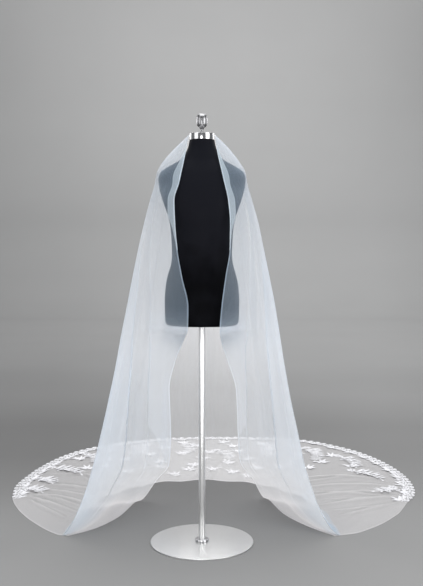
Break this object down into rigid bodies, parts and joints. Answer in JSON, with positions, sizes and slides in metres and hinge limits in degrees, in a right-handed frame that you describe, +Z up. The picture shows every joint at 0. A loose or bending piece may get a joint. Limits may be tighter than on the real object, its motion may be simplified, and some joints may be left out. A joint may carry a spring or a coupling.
{
  "type": "cathedral veil on a dress form stand",
  "caption": "Floor-length tulle veil with a lace hem and a spread train, draped over the shoulders of a limbless dress form on a pole stand.",
  "frame": {"origin": "centre of the base disc's underside, on the floor", "axes": "+Z up along the pole, -Y towards the open front of the veil, +X to the viewer's right"},
  "size_m": [2.0161, 2.1055, 1.772],
  "materials": {
    "tulle": "sheer white net, one layer, cut edge plain",
    "lace": "white embroidered lace on net",
    "form_cover": "smooth black stretch cover, slight sheen",
    "chrome": "polished",
    "base_steel": "round-brushed steel"
  },
  "bodies": {
    "root": {"veil_front_left": "tulle", "veil_side_left": "tulle", "veil_back": "tulle", "veil_side_right": "tulle", "veil_front_right": "tulle", "veil_turned_edge_left": "tulle", "veil_turned_edge_right": "tulle", "train_left": "tulle", "train_back": "tulle", "train_right": "tulle", "lace_border_left": "lace", "lace_border_back_left": "lace", "lace_border_back_right": "lace", "lace_border_right": "lace", "dress_form_torso": "form_cover", "neck_cap": "chrome", "finial_stem": "chrome", "finial": "chrome", "pole": "chrome", "pole_collar": "chrome", "base_disc": "base_steel", "lace_spray_left_front": "lace", "lace_spray_left_low": "lace", "lace_spray_left_middle": "lace", "lace_spray_left_back": "lace", "lace_spray_back_left": "lace", "lace_spray_back_middle": "lace", "lace_spray_back_inner": "lace", "lace_spray_back_right": "lace", "lace_spray_right_back": "lace", "lace_spray_right_middle": "lace", "lace_spray_right_low": "lace", "lace_spray_right_front": "lace"}
  },
  "joints": []
}
